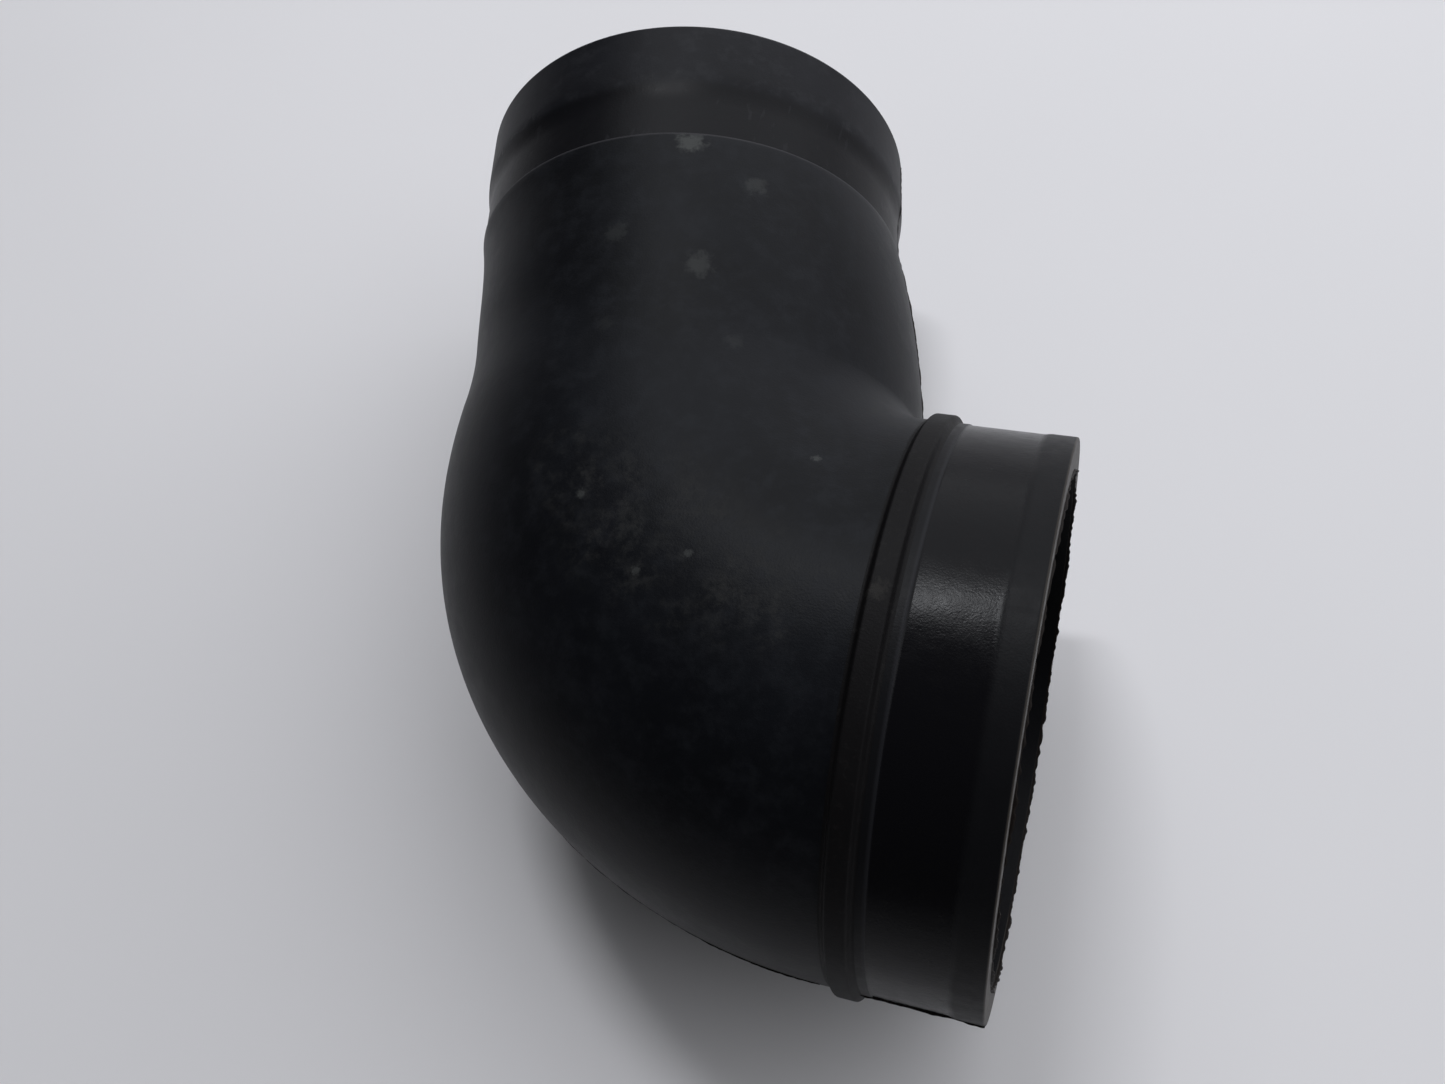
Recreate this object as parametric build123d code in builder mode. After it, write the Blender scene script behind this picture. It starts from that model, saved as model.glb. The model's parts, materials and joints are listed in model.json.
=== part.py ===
from build123d import *

import os
from math import cos, radians, sin

# Reducing flue elbow in thick black rubber, lying on its side. Millimetres.
# The origin is the centre of the large mouth. +X points out of that mouth, +Z is
# square to the bend plane, and the small leg rises towards +Y, leaning to -X.
# The elbow is vulcanised in one piece. It is divided here where its form changes:
# at the foot of the stop rib, and at the shoulder of the small cuff.

# Bores and wall
LARGE_BORE = 101.6      # slides over a 4 in spigot
SMALL_BORE = 88.9       # slides over a 3 1/2 in spigot
WALL = 6.35            # 1/4 in

# Legs, measured along their axes from the point where the axes cross
BEND = 78.0             # degrees the duct turns through
LARGE_LEG = 78.4
SMALL_LEG = 128.5

# Large cuff: end band, clamp track, narrow shelf and stop rib, counted from the mouth
LARGE_BAND = 5.2
LARGE_TRACK_END = 20.9
LARGE_TRACK_DEPTH = 0.2
RIB_START = 23.1
RIB_CREST_START = 23.8  # steep on the side of the clamp track
RIB_CREST_END = 27.5    # and a little easier down to the bend body
RIB_END = 28.6
RIB_HEIGHT = 1.5

# Small cuff: raised end band, slope and clamp track, counted from the mouth
SMALL_BAND = 14.5
SMALL_BAND_HEIGHT = 0.9
SMALL_TRACK_START = 19.5
SMALL_CUFF = 29.8

# Bend: every section swings about one pivot just outside the throat
BEND_START = 30.9       # from the mouth, a little behind the rib
CREASE = 3.0            # radius of the tight throat crease
WAIST_RADIUS = 51.9     # smallest outer radius, a little past the end of the bend
WAIST_TURN = 1.15       # where the waist would lie if the bend ran on, as a part of BEND
WAIST_ALONG = 68.0      # where it lies on the small leg
SHOULDER_RADIUS = 51.1  # outer radius at the shoulder over the small clamp track
BEND_SECTIONS = 7
END_BREAK = 0.6         # rounding of the mouth edges

# Flash: the thin fin left where the halves of the mould met, and the lip left by its core
FLASH_THICKNESS = 0.4
FLASH_HEIGHT = 0.6
FLASH_ROOT = 2.0
LIP_HEIGHT = 0.9

LARGE_RADIUS = LARGE_BORE / 2 + WALL
SMALL_RADIUS = SMALL_BORE / 2 + WALL
CROSSING = Vector(-LARGE_LEG, 0)
PIVOT = Vector(-BEND_START, LARGE_RADIUS + CREASE)


def heelward(turn):
    """Direction from the pivot across the duct to the heel, after a turn in degrees."""
    return Vector(-sin(radians(turn)), -cos(radians(turn)))


def onward(turn):
    """Direction along the duct, from the large leg to the small one."""
    return Vector(-cos(radians(turn)), sin(radians(turn)))


def bend_radius(part_way):
    """Outer radius along the bend, from 0 at the rib to 1 at the neck: full, then falling late."""
    fall = part_way / WAIST_TURN
    return LARGE_RADIUS - (LARGE_RADIUS - WAIST_RADIUS) * fall**5 * (6 - 5 * fall)


def bend_section(part_way):
    """Plane and outer radius of the bend, from 0 at the rib to 1 at the neck."""
    turn = BEND * part_way
    radius = bend_radius(part_way)
    centre = PIVOT + heelward(turn) * (CREASE + radius)
    return Plane(centre, x_dir=heelward(turn), z_dir=onward(turn)), radius


def leg_plane(along, throat=0.0, radius=0.0):
    """Plane across the small leg, centred, or touching a throat line with a circle."""
    shift = throat - radius
    centre = CROSSING + SMALL_AXIS * along - heelward(BEND) * shift
    return Plane(centre, x_dir=heelward(BEND), z_dir=SMALL_AXIS)


SMALL_AXIS = onward(BEND)
NECK_ALONG = (PIVOT - CROSSING).dot(SMALL_AXIS)
NECK_THROAT = (PIVOT - CROSSING).dot(-heelward(BEND)) - CREASE
SHOULDER_ALONG = SMALL_LEG - SMALL_CUFF


def throat_line(along):
    """Distance of the small leg's throat side from its axis, curving in towards the shoulder."""
    part_way = (along - NECK_ALONG) / (SHOULDER_ALONG - NECK_ALONG)
    return NECK_THROAT + (SHOULDER_RADIUS - NECK_THROAT) * part_way**2


bend_steps = [bend_section(step / (BEND_SECTIONS - 1)) for step in range(BEND_SECTIONS)]

# Small leg from neck to shoulder: distance along its axis, outer radius, inner radius
flare_along = (WAIST_ALONG + SHOULDER_ALONG) / 2
flare_radius = (WAIST_RADIUS + SHOULDER_RADIUS) / 2
leg_sizes = [
    (NECK_ALONG, bend_radius(1), bend_radius(1) - WALL),
    (WAIST_ALONG, WAIST_RADIUS, WAIST_RADIUS - WALL),
    (flare_along, flare_radius, SMALL_BORE / 2),
    (SHOULDER_ALONG, SHOULDER_RADIUS, SMALL_BORE / 2),
]
leg_steps = [
    (leg_plane(along, throat_line(along), outer), outer, inner)
    for along, outer, inner in leg_sizes
]

os.makedirs("parts", exist_ok=True)

# Bend body: a short straight behind the rib, the reducing bend, and the small leg to its shoulder
with BuildPart() as bend_body:
    with BuildSketch(Plane.YZ.offset(-BEND_START)):
        Circle(LARGE_RADIUS)
    extrude(amount=BEND_START - RIB_END)
    for plane, radius in bend_steps:
        with BuildSketch(plane):
            Circle(radius)
    loft()
    for plane, outer, inner in leg_steps:
        with BuildSketch(plane):
            Circle(outer)
    loft()
    with BuildSketch(Plane.YZ.offset(-BEND_START)):
        Circle(LARGE_BORE / 2)
    extrude(amount=BEND_START - RIB_END, mode=Mode.SUBTRACT)
    for plane, radius in bend_steps:
        with BuildSketch(plane):
            Circle(radius - WALL)
    loft(mode=Mode.SUBTRACT)
    for plane, outer, inner in leg_steps:
        with BuildSketch(plane):
            Circle(inner)
    loft(mode=Mode.SUBTRACT)

# Large cuff: a straight sleeve turned about X, with the clamp track behind its end band
with BuildPart() as large_end_cuff:
    with BuildSketch(Plane.XY):
        with BuildLine():
            Polyline(
                (-RIB_END, LARGE_BORE / 2),
                (-RIB_END, LARGE_RADIUS),
                (-LARGE_TRACK_END, LARGE_RADIUS),
                (-LARGE_TRACK_END, LARGE_RADIUS - LARGE_TRACK_DEPTH),
                (-LARGE_BAND, LARGE_RADIUS - LARGE_TRACK_DEPTH),
                (-LARGE_BAND, LARGE_RADIUS),
                (0, LARGE_RADIUS),
                (0, LARGE_BORE / 2),
                close=True,
            )
        make_face()
    revolve(axis=Axis.X)
    mouth_face = large_end_cuff.faces().sort_by(Axis.X)[-1]
    chamfer(mouth_face.edges().sort_by(SortBy.LENGTH)[-1], END_BREAK)

# Stop rib: the raised ring that a clamp or a bulkhead comes up against
with BuildPart() as stop_rib:
    with BuildSketch(Plane.XY):
        with BuildLine():
            Polyline(
                (-RIB_END, LARGE_RADIUS),
                (-RIB_CREST_END, LARGE_RADIUS + RIB_HEIGHT),
                (-RIB_CREST_START, LARGE_RADIUS + RIB_HEIGHT),
                (-RIB_START, LARGE_RADIUS),
                close=True,
            )
        make_face()
    revolve(axis=Axis.X)

# Small cuff: turned about its own axis, from the shoulder to the small mouth
small_mouth = leg_plane(SMALL_LEG)
with BuildPart() as small_end_cuff:
    with BuildSketch(Plane(small_mouth.origin, x_dir=small_mouth.z_dir, z_dir=(0, 0, 1))):
        with BuildLine():
            Polyline(
                (-SMALL_CUFF, SMALL_BORE / 2),
                (-SMALL_CUFF, SMALL_RADIUS),
                (-SMALL_TRACK_START, SMALL_RADIUS),
                (-SMALL_BAND, SMALL_RADIUS + SMALL_BAND_HEIGHT),
                (0, SMALL_RADIUS + SMALL_BAND_HEIGHT),
                (0, SMALL_BORE / 2),
                close=True,
            )
        make_face()
    mouth_axis = Axis(small_mouth.origin, small_mouth.z_dir)
    revolve(axis=mouth_axis)
    mouth_face = small_end_cuff.faces().filter_by(GeomType.PLANE).sort_by(mouth_axis)[-1]
    chamfer(mouth_face.edges().sort_by(SortBy.LENGTH)[-1], END_BREAK)


def heel_line(height):
    """Points down the heel side in the bend plane, at a height over the outer wall."""
    bend_points = [
        plane.origin + plane.x_dir * (radius + height)
        for plane, radius in bend_steps
    ]
    leg_points = [
        plane.origin + plane.x_dir * (outer + height)
        for plane, outer, inner in leg_steps[1:]
    ]
    return bend_points + leg_points


# Heel flash: round the heel side of the bend and up the small leg to its shoulder
with BuildPart() as heel_flash:
    crest = heel_line(FLASH_HEIGHT)
    root = heel_line(-FLASH_ROOT)
    with BuildSketch(Plane.XY):
        with BuildLine():
            Spline(*crest)
            Line(crest[-1], root[-1])
            Spline(*root[::-1])
            Line(root[0], crest[0])
        make_face()
    extrude(amount=FLASH_THICKNESS / 2, both=True)
    add(bend_body.part, mode=Mode.SUBTRACT)

# Mouth flash: a thin lip standing round the bore at the large mouth
with BuildPart() as mouth_flash:
    with BuildSketch(Plane.YZ):
        Circle(LARGE_BORE / 2 + FLASH_THICKNESS)
        Circle(LARGE_BORE / 2, mode=Mode.SUBTRACT)
    extrude(amount=LIP_HEIGHT)

# Throat flash: along the throat side of the small leg, from the crease to the shoulder
with BuildPart() as throat_flash:
    crest = [plane.origin - plane.x_dir * (outer + FLASH_HEIGHT) for plane, outer, inner in leg_steps]
    root = [plane.origin - plane.x_dir * (outer - FLASH_ROOT) for plane, outer, inner in leg_steps]
    with BuildSketch(Plane.XY):
        with BuildLine():
            Spline(*crest)
            Line(crest[-1], root[-1])
            Spline(*root[::-1])
            Line(root[0], crest[0])
        make_face()
    extrude(amount=FLASH_THICKNESS / 2, both=True)
    add(bend_body.part, mode=Mode.SUBTRACT)

bend_body.part.label = "bend_body"
export_step(bend_body.part, "parts/bend_body.step")

large_end_cuff.part.label = "large_end_cuff"
export_step(large_end_cuff.part, "parts/large_end_cuff.step")

stop_rib.part.label = "stop_rib"
export_step(stop_rib.part, "parts/stop_rib.step")

small_end_cuff.part.label = "small_end_cuff"
export_step(small_end_cuff.part, "parts/small_end_cuff.step")

heel_flash.part.label = "heel_flash"
export_step(heel_flash.part, "parts/heel_flash.step")

throat_flash.part.label = "throat_flash"
export_step(throat_flash.part, "parts/throat_flash.step")

mouth_flash.part.label = "mouth_flash"
export_step(mouth_flash.part, "parts/mouth_flash.step")
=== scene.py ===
import json
from math import acos, cos, pi, radians, sin

import bmesh
import bpy
from mathutils import Matrix, Vector, noise


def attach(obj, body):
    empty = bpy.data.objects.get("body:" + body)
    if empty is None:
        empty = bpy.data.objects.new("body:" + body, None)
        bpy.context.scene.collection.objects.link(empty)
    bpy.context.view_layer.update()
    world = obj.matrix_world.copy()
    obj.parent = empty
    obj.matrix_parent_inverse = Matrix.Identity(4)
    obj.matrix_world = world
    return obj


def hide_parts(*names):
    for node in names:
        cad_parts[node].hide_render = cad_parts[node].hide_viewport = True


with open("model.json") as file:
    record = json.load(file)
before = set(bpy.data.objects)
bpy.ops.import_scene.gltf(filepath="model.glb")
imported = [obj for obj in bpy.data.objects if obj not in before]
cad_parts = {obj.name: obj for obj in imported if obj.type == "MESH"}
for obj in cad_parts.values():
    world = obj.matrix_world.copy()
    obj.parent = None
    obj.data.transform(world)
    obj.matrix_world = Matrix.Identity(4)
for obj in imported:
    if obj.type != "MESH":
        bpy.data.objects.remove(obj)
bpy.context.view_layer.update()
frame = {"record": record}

MM = 0.001
noise.seed_set(1)       # noise_vector otherwise starts from the clock

# ------------------------------------------------------------------ sizes
# Bores and mouths come from the record; the rest are the moulding's own sizes.
MOUNTS = {mount["name"]: mount for mount in frame["record"]["mounts"]}
LARGE_BORE = MOUNTS["large_bore"]["dims"]["r_mm"] * MM
SMALL_BORE = MOUNTS["small_bore"]["dims"]["r_mm"] * MM
SMALL_AXIS = Vector(MOUNTS["small_bore"]["axis"]).normalized()
UP = Vector((0, 0, 1))

WALL = 6.35 * MM
LARGE_RADIUS = LARGE_BORE + WALL
SMALL_RADIUS = SMALL_BORE + WALL
LARGE_LEG = 78.4 * MM
SMALL_LEG = 128.5 * MM

# Large cuff and rib, counted back from the mouth
LARGE_BAND = 5.2 * MM
LARGE_TRACK_END = 20.9 * MM
LARGE_TRACK_DEPTH = 0.2 * MM
RIB_START = 23.1 * MM
RIB_CREST_START = 23.8 * MM
RIB_CREST_END = 27.5 * MM
RIB_END = 28.6 * MM
RIB_HEIGHT = 1.4 * MM

# Small cuff, counted back from its mouth
SMALL_BAND = 14.5 * MM
SMALL_BAND_HEIGHT = 0.9 * MM
SMALL_TRACK_START = 19.5 * MM
SMALL_CUFF = 29.8 * MM

# Bend: every section swings about a pivot just outside the throat
BEND = pi - acos(SMALL_AXIS.x)
BEND_START = 30.9 * MM
CREASE = 3.0 * MM
WAIST_RADIUS = 51.9 * MM
WAIST_TURN = 1.15
WAIST_ALONG = 68.0 * MM
SHOULDER_RADIUS = 51.1 * MM
SHOULDER_ALONG = SMALL_LEG - SMALL_CUFF
CROSSING = Vector((-LARGE_LEG, 0, 0))
PIVOT = Vector((-BEND_START, LARGE_RADIUS + CREASE, 0))

ROUND = 192
EDGE = 0.5 * MM         # rounding of the moulded edges
HIDDEN = 0.05 * MM      # rounding of edges buried in a neighbouring piece
MERGE = 0.001 * MM      # vertices closer than this are one
UNEVENNESS = 0.05 * MM  # how far the moulded surface strays
SHEEN = 0.08            # specular level of the worn rubber
CRUST_SHEEN = 0.09
FLASH_SHEEN = 0.15


# ------------------------------------------------------------------ course of the duct
def heelward(turn):
    """From the pivot across the duct to its heel side."""
    return Vector((-sin(turn), -cos(turn), 0))


def onward(turn):
    """Along the duct, from the large leg to the small one."""
    return Vector((-cos(turn), sin(turn), 0))


NECK_ALONG = (PIVOT - CROSSING).dot(SMALL_AXIS)
NECK_THROAT = (PIVOT - CROSSING).dot(-heelward(BEND)) - CREASE


def bend_radius(part_way):
    """Outer radius along the bend, from 0 at its start to 1 at the neck: full, then falling late."""
    fall = part_way / WAIST_TURN
    return LARGE_RADIUS - (LARGE_RADIUS - WAIST_RADIUS) * fall**5 * (6 - 5 * fall)


def ease(part):
    """Smooth step from 0 to 1."""
    part = min(max(part, 0.0), 1.0)
    return part * part * (3 - 2 * part)


def leg_radius(along):
    """Outer radius of the small leg: in to the waist, then out to the shoulder."""
    neck = bend_radius(1)
    if along < WAIST_ALONG:
        part_way = (along - NECK_ALONG) / (WAIST_ALONG - NECK_ALONG)
        return WAIST_RADIUS + (neck - WAIST_RADIUS) * (1 - part_way)**2
    part_way = (along - WAIST_ALONG) / (SHOULDER_ALONG - WAIST_ALONG)
    return WAIST_RADIUS + (SHOULDER_RADIUS - WAIST_RADIUS) * ease(part_way)


def throat_line(along):
    """Distance of the small leg's throat side from its axis."""
    part_way = (along - NECK_ALONG) / (SHOULDER_ALONG - NECK_ALONG)
    return NECK_THROAT + (SHOULDER_RADIUS - NECK_THROAT) * part_way**2


def ring(centre, across, along, radius):
    """Matrix that places a unit circle across the duct."""
    turned = Matrix((across, along.cross(across), along)).transposed().to_4x4()
    return Matrix.Translation(centre) @ turned @ Matrix.Scale(radius, 4)


def bend_ring(part_way, inset=0.0):
    turn = BEND * part_way
    radius = bend_radius(part_way)
    centre = PIVOT + heelward(turn) * (CREASE + radius)
    return ring(centre, heelward(turn), onward(turn), radius - inset)


def leg_centre(along):
    shift = throat_line(along) - leg_radius(along)
    return CROSSING + SMALL_AXIS * along - heelward(BEND) * shift


def leg_ring(along, radius):
    return ring(leg_centre(along), heelward(BEND), SMALL_AXIS, radius)


def straight_ring(x, radius):
    return ring(Vector((x, 0, 0)), heelward(0), onward(0), radius)


# ------------------------------------------------------------------ making pieces
def drift(point):
    """Slight unevenness of moulded rubber, the same for every piece so that joins stay shut."""
    return noise.noise_vector(point * 28) * UNEVENNESS


def finish_piece(bm, name, material, slot, *stands_for):
    """Turns a bmesh into a smooth piece that rides on the elbow."""
    bmesh.ops.recalc_face_normals(bm, faces=bm.faces)
    for face in bm.faces:
        face.smooth = True
    mesh = bpy.data.meshes.new(name)
    bm.to_mesh(mesh)
    bm.free()
    mesh.materials.append(material)
    piece = bpy.data.objects.new(name, mesh)
    bpy.context.scene.collection.objects.link(piece)
    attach(piece, "root")
    if stands_for:
        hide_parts(*stands_for)
    return piece


def sweep(bm, rings):
    """Extrudes a circle through the rings, back to where it began."""
    made = bmesh.ops.create_circle(bm, segments=ROUND, radius=1.0, matrix=rings[0])
    edges = list(dict.fromkeys(edge for vert in made["verts"] for edge in vert.link_edges))
    for before, after in zip(rings, rings[1:]):
        grown = bmesh.ops.extrude_edge_only(bm, edges=edges)["geom"]
        verts = {item for item in grown if isinstance(item, bmesh.types.BMVert)}
        bmesh.ops.transform(bm, matrix=after @ before.inverted(), verts=list(verts))
        edges = [item for item in grown if isinstance(item, bmesh.types.BMEdge) and set(item.verts) <= verts]
    bmesh.ops.remove_doubles(bm, verts=bm.verts, dist=MERGE)


def rounded(corners, steps=4):
    """Closed outline through (along, radius, rounding) corners, as 2-D points."""
    points = []
    for index, (along, radius, rounding) in enumerate(corners):
        here = Vector((along, radius))
        before = Vector(corners[index - 1][:2])
        after = Vector(corners[(index + 1) % len(corners)][:2])
        enter = here + (before - here).normalized() * (rounding or HIDDEN)
        leave = here + (after - here).normalized() * (rounding or HIDDEN)
        for step in range(steps + 1):
            part = step / steps
            points.append(enter * (1 - part)**2 + here * 2 * part * (1 - part) + leave * part**2)
    return held(points)


def held(points):
    """The outline with a point close to each end of its long sides, so that they shade flat."""
    closer = []
    for point, after in zip(points, points[1:] + points[:1]):
        side = after - point
        closer.append(point)
        if side.length > 0.8 * MM:
            closer.append(point + side.normalized() * 0.15 * MM)
            closer.append(after - side.normalized() * 0.15 * MM)
    return closer


def turned(bm, outline, place):
    """Spins a closed outline round the duct's axis, then puts it in place."""
    verts = [bm.verts.new((point.x, point.y, 0)) for point in outline]
    edges = [bm.edges.new((verts[index - 1], verts[index])) for index in range(len(verts))]
    bmesh.ops.spin(
        bm, geom=verts + edges, cent=(0, 0, 0), axis=(1, 0, 0), dvec=(0, 0, 0),
        angle=2 * pi, steps=ROUND, use_merge=True, use_duplicate=False,
    )
    bmesh.ops.transform(bm, matrix=place, verts=bm.verts)


def drifted(bm):
    for vert in bm.verts:
        vert.co += drift(vert.co)


# ------------------------------------------------------------------ shader maths
class Wire:
    """An output socket. Arithmetic on it adds Math nodes to its tree."""

    def __init__(self, socket):
        self.socket = socket

    def _math(self, operation, *values):
        tree = self.socket.id_data
        node = tree.nodes.new("ShaderNodeMath")
        node.operation = operation
        for socket, value in zip(node.inputs, values):
            if isinstance(value, Wire):
                tree.links.new(value.socket, socket)
            else:
                socket.default_value = value
        return Wire(node.outputs[0])

    def __add__(self, other):
        return self._math("ADD", self, other)

    def __radd__(self, other):
        return self._math("ADD", other, self)

    def __sub__(self, other):
        return self._math("SUBTRACT", self, other)

    def __rsub__(self, other):
        return self._math("SUBTRACT", other, self)

    def __mul__(self, other):
        return self._math("MULTIPLY", self, other)

    def __rmul__(self, other):
        return self._math("MULTIPLY", other, self)

    def __truediv__(self, other):
        return self._math("DIVIDE", self, other)


class Finish:
    """A material for one of the elbow's finishes."""

    def __init__(self, name):
        self.material = bpy.data.materials.new(name)
        self.material.use_nodes = True
        self.tree = self.material.node_tree
        self.tree.nodes.clear()
        self.place = self.add("ShaderNodeTexCoord", output="Object")

    def add(self, kind, settings=None, sockets=None, output=0):
        """Adds a node: its settings first, then the values or links of its sockets."""
        node = self.tree.nodes.new(kind)
        for name, value in (settings or {}).items():
            setattr(node, name, value)
        for name, value in (sockets or {}).items():
            socket = node.inputs[name]
            if isinstance(value, Wire):
                self.tree.links.new(value.socket, socket)
            else:
                socket.default_value = value
        if len(node.outputs):
            return Wire(node.outputs[output])
        return None

    def grain(self, scale, detail=3.0, roughness=0.55, where=None):
        """Noise from 0 to 1, at so many grains to the metre."""
        sockets = {
            "Vector": where or self.place, "Scale": scale, "Detail": detail, "Roughness": roughness,
        }
        return self.add("ShaderNodeTexNoise", sockets=sockets, output="Fac")

    def between(self, value, low, high):
        """0 below low, 1 above high, smooth between them."""
        sockets = {"Value": value, "From Min": low, "From Max": high}
        return self.add("ShaderNodeMapRange", {"interpolation_type": "SMOOTHSTEP"}, sockets)

    def along(self, axis, origin=(0, 0, 0)):
        """Distance along an axis, in metres."""
        offset = self.add("ShaderNodeVectorMath", {"operation": "SUBTRACT"}, {0: self.place, 1: origin})
        return self.add("ShaderNodeVectorMath", {"operation": "DOT_PRODUCT"}, {0: offset, 1: axis}, "Value")

    def distance(self, point):
        """Distance from a point, in metres."""
        return self.add("ShaderNodeVectorMath", {"operation": "DISTANCE"}, {0: self.place, 1: point}, "Value")

    def stretched(self, scale):
        """Object coordinates stretched, for marks that run one way."""
        return self.add("ShaderNodeMapping", sockets={"Vector": self.place, "Scale": scale})

    def blot(self, centre, radius):
        """A soft-edged mark of about this radius, with a ragged, broken outline."""
        edge = self.distance(centre) / radius + (self.grain(1.4 / radius, 4, 0.7) - 0.5) * 2.6
        return 1 - self.between(edge, 0.35, 1.25)

    def mix(self, factor, first, second):
        """Blend of two colours."""
        node = self.tree.nodes.new("ShaderNodeMix")
        node.data_type = "RGBA"
        for name, value in (("Factor_Float", factor), ("A_Color", first), ("B_Color", second)):
            socket = next(item for item in node.inputs if item.identifier == name)
            if isinstance(value, Wire):
                self.tree.links.new(value.socket, socket)
            elif name == "Factor_Float":
                socket.default_value = value
            else:
                socket.default_value = (*value, 1)
        return Wire(next(item for item in node.outputs if item.identifier == "Result_Color"))

    def rubber(self, colour, roughness, height, depth, sheen):
        """The rubber shader itself; height is a bump of that depth in metres."""
        bump = self.add("ShaderNodeBump", sockets={"Height": height, "Distance": depth, "Strength": 1.0})
        shader = self.add("ShaderNodeBsdfPrincipled", sockets={
            "Base Color": colour, "Roughness": roughness, "Normal": bump, "Specular IOR Level": sheen,
        })
        self.add("ShaderNodeOutputMaterial", sockets={"Surface": shader})
        return self.material


def moulded_grain(finish):
    """Height of the fine moulded skin: pores over a slow ripple."""
    return finish.grain(2600, 2) * 0.5 + finish.grain(700, 3) * 0.35 + finish.grain(120, 2) * 0.5


# Pale spots on the bend body, as (place in millimetres, radius in millimetres, strength)
SPOTS = [
    ((-86.5, 96.6, 49.8), 3.2, 0.90),
    ((-71.5, 89.6, 45.7), 2.6, 0.35),
    ((-76.4, 66.1, 50.5), 2.9, 0.42),
    ((-95.5, 71.0, 51.6), 2.4, 0.25),
    ((-65.2, 50.0, 49.3), 1.9, 0.15),
    ((-90.9, 49.0, 52.4), 1.8, 0.12),
    ((-43.0, 26.2, 51.8), 0.9, 0.70),
    ((-59.7, 2.6, 56.9), 0.9, 0.55),
    ((-68.4, -1.5, 55.7), 0.9, 0.60),
    ((-83.1, 11.4, 55.2), 0.9, 0.60),
    ((-24.6, -31.1, 47.9), 2.4, 0.15),
]

# The two ends of the scuffed band over the bend
SCUFF_ENDS = (-93.6 * MM, 19.6 * MM, 53.2 * MM), (-41.0 * MM, -6.7 * MM, 56.7 * MM)


def body_rubber():
    """Matte blue-black rubber with a faint grey bloom, scuffed where it has been handled, and a painted
    highlight along the shoulder edge.
    """
    finish = Finish("body_rubber")
    cloud = finish.grain(24, 4, 0.6)
    mottle = finish.grain(210, 5, 0.68)
    fleck = finish.grain(430, 4, 0.7)
    colour = finish.mix(finish.between(cloud, 0.3, 0.7), (0.0032, 0.0035, 0.0045), (0.0056, 0.0062, 0.0080))
    colour = finish.mix(finish.between(mottle, 0.42, 0.72) * 0.6, colour, (0.0105, 0.0115, 0.0140))
    reach = finish.distance(SCUFF_ENDS[0]) + finish.distance(SCUFF_ENDS[1])
    patch = 1 - finish.between(reach + (finish.grain(60, 3) - 0.5) * 0.016, 0.058, 0.070)
    scuff = patch * finish.between(fleck, 0.38, 0.72) * finish.between(finish.grain(130, 4), 0.34, 0.62)
    colour = finish.mix(scuff * 0.6, colour, (0.0230, 0.0230, 0.0225))
    for centre, radius, strength in SPOTS:
        mark = finish.blot([value * MM for value in centre], radius * MM)
        colour = finish.mix(mark * strength, colour, (0.044, 0.046, 0.045))
    # Pale line along the shoulder edge: a painted highlight where the rounded edge catches the light.
    shoulder = finish.along(SMALL_AXIS, CROSSING) + (fleck - 0.5) * 0.3 * MM
    shoulder_highlight = finish.between(shoulder, SHOULDER_ALONG - 0.7 * MM, SHOULDER_ALONG - 0.35 * MM)
    colour = finish.mix(shoulder_highlight * 0.8, colour, (0.030, 0.029, 0.032))
    roughness = 0.44 + (mottle - 0.5) * 0.16 + scuff * 0.1
    return finish.rubber(colour, roughness, moulded_grain(finish), 0.06 * MM, SHEEN)


def end_face(finish, back, cloud, colour):
    """The end face: a thin paler brown band at the mouth."""
    end = 1 - finish.between(back, 0.15 * MM, 0.45 * MM)
    return finish.mix(end * (0.5 + 0.5 * cloud), colour, (0.042, 0.037, 0.032))


def large_cuff_rubber():
    """Polished where the clamp sat, matte on the end band and on the shelf by the rib, with a painted
    highlight along the shelf's edge.
    """
    finish = Finish("large_cuff_rubber")
    back = finish.along((-1, 0, 0))
    wander = (finish.grain(60, 2) - 0.5) * 1.2 * MM
    track = finish.between(back + wander, LARGE_BAND, LARGE_BAND + 1.6 * MM)
    track = track * (1 - finish.between(back, LARGE_TRACK_END - 0.3 * MM, LARGE_TRACK_END))
    cloud = finish.grain(34, 4, 0.6)
    wear = finish.grain(330, 4, 0.7)
    streaks = finish.grain(60, 3, 0.6, finish.stretched((1.0, 14.0, 14.0)))
    colour = finish.mix(cloud, (0.0042, 0.0043, 0.0050), (0.0074, 0.0074, 0.0086))
    colour = finish.mix(track, colour, (0.0040, 0.0039, 0.0048))
    # Pale line where the track rises to the shelf: a painted highlight on that fillet.
    edge = finish.between(back, LARGE_TRACK_END - 0.25 * MM, LARGE_TRACK_END)
    edge = edge * (1 - finish.between(back, LARGE_TRACK_END + 0.2 * MM, LARGE_TRACK_END + 0.7 * MM))
    colour = finish.mix(edge * 0.35, colour, (0.024, 0.024, 0.028))
    colour = end_face(finish, back, cloud, colour)
    roughness = 0.44 - track * 0.20 + (streaks - 0.5) * 0.08 + (wear - 0.5) * 0.20
    height = moulded_grain(finish) + wear * 0.5 + finish.grain(170, 2) * 0.7
    return finish.rubber(colour, roughness, height, 0.05 * MM, SHEEN)


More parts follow.
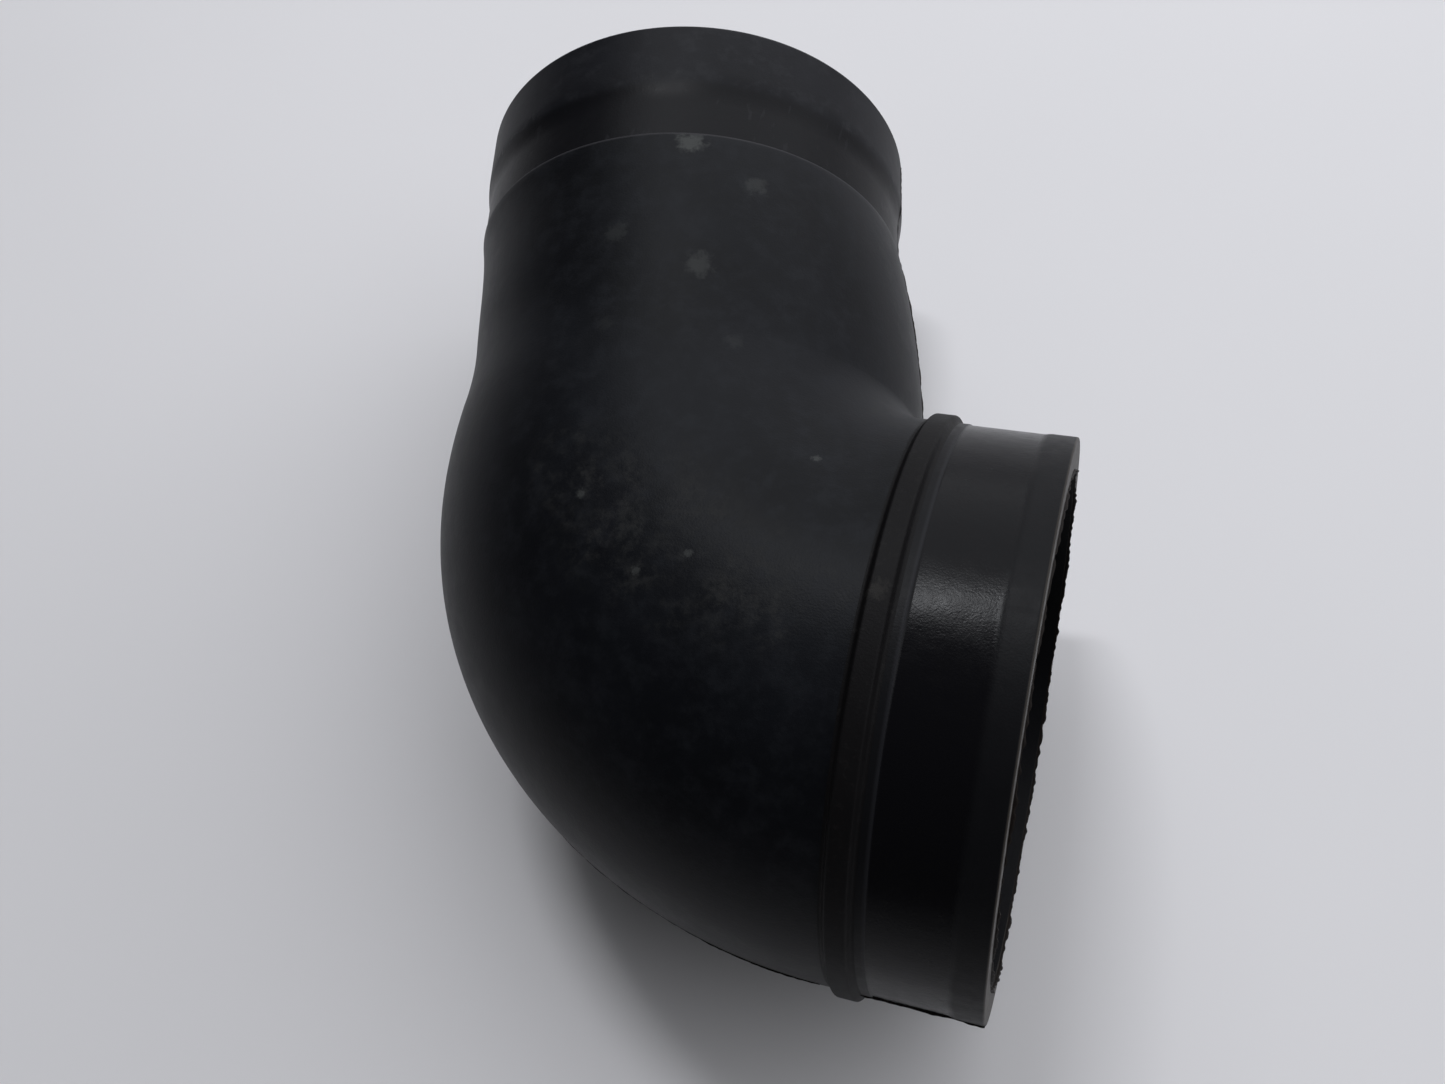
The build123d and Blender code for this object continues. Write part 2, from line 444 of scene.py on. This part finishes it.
def small_cuff_rubber():
    """Matte bloomed end band with a crust along its edge, over a smoother darker track."""
    finish = Finish("small_cuff_rubber")
    back = finish.along(SMALL_AXIS * -1, CROSSING + SMALL_AXIS * SMALL_LEG)
    wander = (finish.grain(80, 3) - 0.5) * 2.2 * MM
    track = finish.between(back + wander, SMALL_BAND + 0.5 * MM, SMALL_BAND + 2.5 * MM)
    cloud = finish.grain(40, 4, 0.6)
    mottle = finish.grain(240, 5, 0.68)
    colour = finish.mix(finish.between(cloud, 0.3, 0.7), (0.0050, 0.0052, 0.0068), (0.0084, 0.0088, 0.0114))
    colour = finish.mix(finish.between(mottle, 0.45, 0.72) * 0.6, colour, (0.0165, 0.0172, 0.0200))
    colour = finish.mix(track * 0.9, colour, (0.0036, 0.0036, 0.0046))
    crust = finish.between(back + wander, SMALL_BAND - 2.0 * MM, SMALL_BAND)
    crust = crust * (1 - finish.between(back + wander, SMALL_BAND + 0.8 * MM, SMALL_BAND + 1.8 * MM))
    crust = crust * finish.between(finish.grain(380, 4, 0.7), 0.50, 0.66) * finish.between(cloud, 0.45, 0.6)
    colour = finish.mix(crust * 0.8, colour, (0.034, 0.035, 0.036))
    scratch = finish.between(finish.grain(24, 2, 0.5, finish.stretched((26.0, 5.5, 26.0))), 0.66, 0.72)
    colour = finish.mix(scratch * track * 0.4, colour, (0.016, 0.016, 0.018))
    colour = end_face(finish, back, cloud, colour)
    roughness = 0.46 - track * 0.08 + (mottle - 0.5) * 0.14
    return finish.rubber(colour, roughness, moulded_grain(finish) + crust * 1.5, 0.05 * MM, CRUST_SHEEN)


def rib_rubber():
    """Rib: dull and brownish, with a few dusty marks."""
    finish = Finish("rib_rubber")
    cloud = finish.grain(70, 4, 0.65)
    fleck = finish.grain(600, 4, 0.7)
    colour = finish.mix(cloud, (0.0036, 0.0033, 0.0037), (0.0064, 0.0059, 0.0063))
    colour = finish.mix(finish.between(fleck, 0.55, 0.75) * 0.6, colour, (0.014, 0.013, 0.013))
    mark = finish.blot((-26 * MM, 1 * MM, 58 * MM), 2 * MM)
    colour = finish.mix(mark * 0.45, colour, (0.028, 0.026, 0.024))
    roughness = 0.55 + (cloud - 0.5) * 0.2
    return finish.rubber(colour, roughness, moulded_grain(finish) + fleck * 0.5, 0.07 * MM, SHEEN)


def flash_rubber():
    """Torn flash: rough and brownish black."""
    finish = Finish("flash_rubber")
    cloud = finish.grain(500, 4, 0.7)
    colour = finish.mix(cloud, (0.0045, 0.0034, 0.0030), (0.0150, 0.0105, 0.0085))
    return finish.rubber(colour, 0.6 + (cloud - 0.5) * 0.2, moulded_grain(finish), 0.10 * MM, FLASH_SHEEN)


# ------------------------------------------------------------------ bend body
def make_bend_body(material):
    """Outer skin from the rib to the shoulder, over its edge, and back along the bore."""
    edge = 0.25 * MM
    outside = [straight_ring(-RIB_START - 1 * MM, LARGE_RADIUS - 0.4 * MM)]
    outside += [straight_ring(-RIB_END, LARGE_RADIUS - 0.02 * MM)]
    outside += [straight_ring(-RIB_END - step * 0.3 * MM, LARGE_RADIUS) for step in (1, 4)]
    bend_steps = 64
    outside += [bend_ring(step / bend_steps) for step in range(bend_steps + 1)]
    leg_steps = 26
    reach = SHOULDER_ALONG - edge - NECK_ALONG
    leg_along = [NECK_ALONG + reach * step / leg_steps for step in range(1, leg_steps + 1)]
    outside += [leg_ring(along, leg_radius(along)) for along in leg_along]
    for step in range(1, 5):
        turn = pi / 2 * step / 4
        along = SHOULDER_ALONG - edge + edge * sin(turn)
        outside.append(leg_ring(along, SHOULDER_RADIUS - edge + edge * cos(turn)))
    inner_neck = bend_radius(1) - WALL

    def bore_radius(along):
        return inner_neck + (SMALL_BORE - inner_neck) * ease((along - NECK_ALONG) / (reach * 0.7))

    inside = [leg_ring(SHOULDER_ALONG, SMALL_BORE)]
    inside += [leg_ring(along, bore_radius(along)) for along in leg_along[::-1]]
    inside += [bend_ring(step / bend_steps, WALL) for step in range(bend_steps, -1, -1)]
    inside += [straight_ring(-RIB_END - 0.3 * MM, LARGE_BORE)]
    inside += [straight_ring(-RIB_END, LARGE_BORE + 0.02 * MM)]
    inside += [straight_ring(-RIB_START - 1 * MM, LARGE_BORE + 0.4 * MM)]
    bm = bmesh.new()
    sweep(bm, outside + inside + outside[:1])
    drifted(bm)
    return finish_piece(bm, "bend_body_skin", material, "body_rubber", "bend_body")


# ------------------------------------------------------------------ cuffs and rib
LARGE_PLACE = Matrix.Identity(4)
SMALL_PLACE = ring(CROSSING, heelward(BEND), SMALL_AXIS, 1.0) @ Matrix.Rotation(-pi / 2, 4, "Y")


def make_large_cuff(material):
    track = LARGE_RADIUS - LARGE_TRACK_DEPTH
    outline = rounded([
        (0, LARGE_BORE, 0.35 * MM),
        (0, LARGE_RADIUS, EDGE),
        (-LARGE_BAND, LARGE_RADIUS, 0.5 * MM),
        (-LARGE_BAND - 1.1 * MM, track, 0.5 * MM),
        (-LARGE_TRACK_END + 0.35 * MM, track, 0.2 * MM),
        (-LARGE_TRACK_END, LARGE_RADIUS, 0.2 * MM),
        (-RIB_START + 0.5 * MM, LARGE_RADIUS, 0),
        (-RIB_END, LARGE_RADIUS - 0.6 * MM, 0),
        (-RIB_END, LARGE_BORE, 0),
    ])
    bm = bmesh.new()
    turned(bm, outline, LARGE_PLACE)
    drifted(bm)
    return finish_piece(bm, "large_cuff_sleeve", material, "cuff_rubber", "large_end_cuff")


def make_rib(material):
    crest = LARGE_RADIUS + RIB_HEIGHT
    outline = rounded([
        (-RIB_END - 0.5 * MM, LARGE_RADIUS - 1.2 * MM, 0),
        (-RIB_START + 0.6 * MM, LARGE_RADIUS - 1.2 * MM, 0),
        (-RIB_START + 0.6 * MM, LARGE_RADIUS, 0),
        (-RIB_START, LARGE_RADIUS, 0.45 * MM),
        (-RIB_CREST_START, crest, 0.3 * MM),
        (-RIB_CREST_END, crest, 0.3 * MM),
        (-RIB_END + 0.3 * MM, LARGE_RADIUS, 0.35 * MM),
        (-RIB_END - 0.5 * MM, LARGE_RADIUS, 0),
    ])
    bm = bmesh.new()
    turned(bm, outline, LARGE_PLACE)
    drifted(bm)
    return finish_piece(bm, "stop_rib_ring", material, "rib_rubber", "stop_rib")


def make_small_cuff(material):
    band = SMALL_RADIUS + SMALL_BAND_HEIGHT
    outline = rounded([
        (SMALL_LEG, SMALL_BORE, 0.35 * MM),
        (SMALL_LEG, band, 1.1 * MM),
        (SMALL_LEG - SMALL_BAND, band, 1.6 * MM),
        (SMALL_LEG - SMALL_TRACK_START, SMALL_RADIUS, 1.8 * MM),
        (SHOULDER_ALONG - 0.3 * MM, SMALL_RADIUS, 0),
        (SHOULDER_ALONG - 0.3 * MM, SMALL_BORE, 0),
    ], 8)
    bm = bmesh.new()
    turned(bm, outline, SMALL_PLACE)
    drifted(bm)
    return finish_piece(bm, "small_cuff_sleeve", material, "cuff_rubber", "small_end_cuff")


# ------------------------------------------------------------------ mould flash
FLASH_THICKNESS = 0.22 * MM
FLASH_ROOT = 0.4 * MM


def torn(along, seed):
    """Height of torn flash along its length, in metres from a seed: 0 where it has broken away."""
    slow = noise.noise(Vector((along * 45, seed, 0)))
    quick = noise.noise(Vector((along * 260, seed, 5)))
    fine = noise.noise(Vector((along * 900, seed, 9)))
    return min(max(0.55 + 0.75 * slow + 0.45 * quick + 0.25 * fine, 0.05), 1.5)


def fin(name, line, length, height, seed, *stands_for):
    """A thin torn fin standing on the wall along a line."""
    stations = int(length / (0.35 * MM))
    bm = bmesh.new()
    bmesh.ops.create_grid(bm, x_segments=stations, y_segments=3, size=0.5)
    for vert in bm.verts:
        part = min(max(vert.co.x + 0.5, 0.0), 1.0)
        rise = vert.co.y + 0.5
        point, outward = line(part)
        tall = height * torn(part * length, seed)
        sway = 0.25 * MM * rise * noise.noise(Vector((part * length * 200, seed, 3)))
        vert.co = point + outward * (rise * (tall + FLASH_ROOT) - FLASH_ROOT) + UP * sway + drift(point)
    bmesh.ops.solidify(bm, geom=bm.faces[:], thickness=FLASH_THICKNESS)
    return finish_piece(bm, name, FLASH, "flash_rubber", *stands_for)


def heel_side(part):
    """Heel of the bend and small leg in the bend plane: a point and its outward direction."""
    bend_share = 0.76
    if part < bend_share:
        placed = bend_ring(part / bend_share)
    else:
        along = NECK_ALONG + (SHOULDER_ALONG - NECK_ALONG) * (part - bend_share) / (1 - bend_share)
        placed = leg_ring(along, leg_radius(along))
    return placed @ Vector((1, 0, 0)), placed.col[0].to_3d().normalized()


def throat_side(part):
    along = NECK_ALONG + (SHOULDER_ALONG - NECK_ALONG) * part
    placed = leg_ring(along, leg_radius(along))
    return placed @ Vector((-1, 0, 0)), -placed.col[0].to_3d().normalized()


def large_cuff_side(sign):
    """Line along the large cuff up to its rib, at the heel side (-1) or throat side (1)."""
    outward = Vector((0, sign, 0))

    def line(part):
        back = (RIB_START + 0.3 * MM) * part
        return Vector((-back, 0, 0)) + outward * (LARGE_RADIUS - 0.1 * MM), outward
    return line


def small_cuff_side(sign):
    outward = heelward(BEND) * sign

    def line(part):
        along = SHOULDER_ALONG + (SMALL_LEG - 2 * MM - SHOULDER_ALONG) * part
        band = ease((along - SMALL_LEG + SMALL_TRACK_START) / (SMALL_TRACK_START - SMALL_BAND))
        return CROSSING + SMALL_AXIS * along + outward * (SMALL_RADIUS + SMALL_BAND_HEIGHT * band), outward
    return line


def make_mouth_flash():
    """Ragged lip of flash round the inner edge of the large mouth."""
    bm = bmesh.new()
    steps = 900
    bmesh.ops.create_grid(bm, x_segments=steps, y_segments=3, size=0.5)
    for vert in bm.verts:
        turn = 2 * pi * (vert.co.x + 0.5)
        rise = vert.co.y + 0.5
        wrapped = Vector((cos(turn), sin(turn), 0)) * 1.6
        slow = noise.noise(wrapped * 4 + Vector((0, 0, 7)))
        quick = noise.noise(wrapped * 22 + Vector((0, 0, 3)))
        tall = min(max(0.30 + 0.5 * slow + 0.45 * quick, 0.0), 1.1) * MM
        radius = LARGE_BORE + 0.3 * MM - 0.15 * MM * rise
        vert.co = Vector((-0.5 * MM + rise * (tall + 0.5 * MM), radius * cos(turn), radius * sin(turn)))
    bmesh.ops.remove_doubles(bm, verts=bm.verts, dist=MERGE)
    bmesh.ops.solidify(bm, geom=bm.faces[:], thickness=0.25 * MM)
    return finish_piece(bm, "mouth_lip", FLASH, "flash_rubber", "mouth_flash")


# ------------------------------------------------------------------ the elbow
FLASH = flash_rubber()
make_bend_body(body_rubber())
make_large_cuff(large_cuff_rubber())
make_rib(rib_rubber())
make_small_cuff(small_cuff_rubber())
fin("heel_flash_fin", heel_side, 200 * MM, 0.30 * MM, 1.0, "heel_flash")
fin("throat_flash_fin", throat_side, 50 * MM, 0.38 * MM, 2.0, "throat_flash")
fin("large_cuff_heel_flash", large_cuff_side(-1), 23 * MM, 0.5 * MM, 3.0)
fin("large_cuff_throat_flash", large_cuff_side(1), 23 * MM, 0.2 * MM, 4.0)
fin("small_cuff_heel_flash", small_cuff_side(1), 28 * MM, 0.2 * MM, 5.0)
fin("small_cuff_throat_flash", small_cuff_side(-1), 28 * MM, 0.32 * MM, 6.0)
make_mouth_flash()


# ------------------------------------------------------------------ floor, light and camera
def make_floor():
    """A pale board, tipped so that both the rib and the small cuff rest on it."""
    finish = Finish("pale_board")
    cloud = finish.grain(3, 3)
    colour = finish.mix(cloud, (0.70, 0.69, 0.70), (0.78, 0.765, 0.775))
    shader = finish.add("ShaderNodeBsdfPrincipled", sockets={
        "Base Color": colour, "Roughness": 0.6, "Specular IOR Level": 0.2,
    })
    finish.add("ShaderNodeOutputMaterial", sockets={"Surface": shader})
    bm = bmesh.new()
    bmesh.ops.create_grid(bm, x_segments=1, y_segments=1, size=4.0)
    mesh = bpy.data.meshes.new("board")
    bm.to_mesh(mesh)
    bm.free()
    mesh.materials.append(finish.material)
    board = bpy.data.objects.new("board", mesh)
    bpy.context.scene.collection.objects.link(board)
    rise = LARGE_RADIUS + RIB_HEIGHT - SMALL_RADIUS
    run = SMALL_AXIS.y * SMALL_LEG
    board.rotation_euler = (rise / run, 0, 0)
    board.location = (0, 0, -LARGE_RADIUS - RIB_HEIGHT - 0.3 * MM)


def soft_light(name, towards, distance, width, height, watts):
    """A softbox hung in a direction from the elbow's middle and turned to face it."""
    centre = Vector((-70 * MM, 20 * MM, 0))
    lamp = bpy.data.lights.new(name, "AREA")
    lamp.shape = "RECTANGLE"
    lamp.size = width
    lamp.size_y = height
    lamp.energy = watts
    lamp.color = (0.94, 0.96, 1.0)
    box = bpy.data.objects.new(name, lamp)
    direction = Vector(towards).normalized()
    box.location = centre + direction * distance
    box.rotation_euler = direction.to_track_quat("Z", "Y").to_euler()
    bpy.context.scene.collection.objects.link(box)


def make_light():
    soft_light("ceiling", (0.42, 0.60, 0.68), 2.2, 5.8, 3.2, 108.0)
    soft_light("lamp", (-0.12, 0.37, 0.92), 1.2, 0.26, 0.08, 4.0)
    world = bpy.data.worlds.new("room")
    bpy.context.scene.world = world
    world.use_nodes = True
    world.node_tree.nodes["Background"].inputs["Color"].default_value = (0.95, 0.97, 1.0, 1)
    world.node_tree.nodes["Background"].inputs["Strength"].default_value = 0.05


def make_camera():
    lens = bpy.data.cameras.new("camera")
    lens.sensor_width = 36
    lens.lens = 30.99
    lens.clip_start = 0.01
    camera = bpy.data.objects.new("camera", lens)
    camera.location = (7.8 * MM, -69.5 * MM, 245.8 * MM)
    camera.rotation_euler = [radians(angle) for angle in (24.605, 12.157, 14.808)]
    bpy.context.scene.collection.objects.link(camera)
    bpy.context.scene.camera = camera


make_floor()
make_light()
make_camera()
bpy.context.scene.view_settings.view_transform = "Standard"
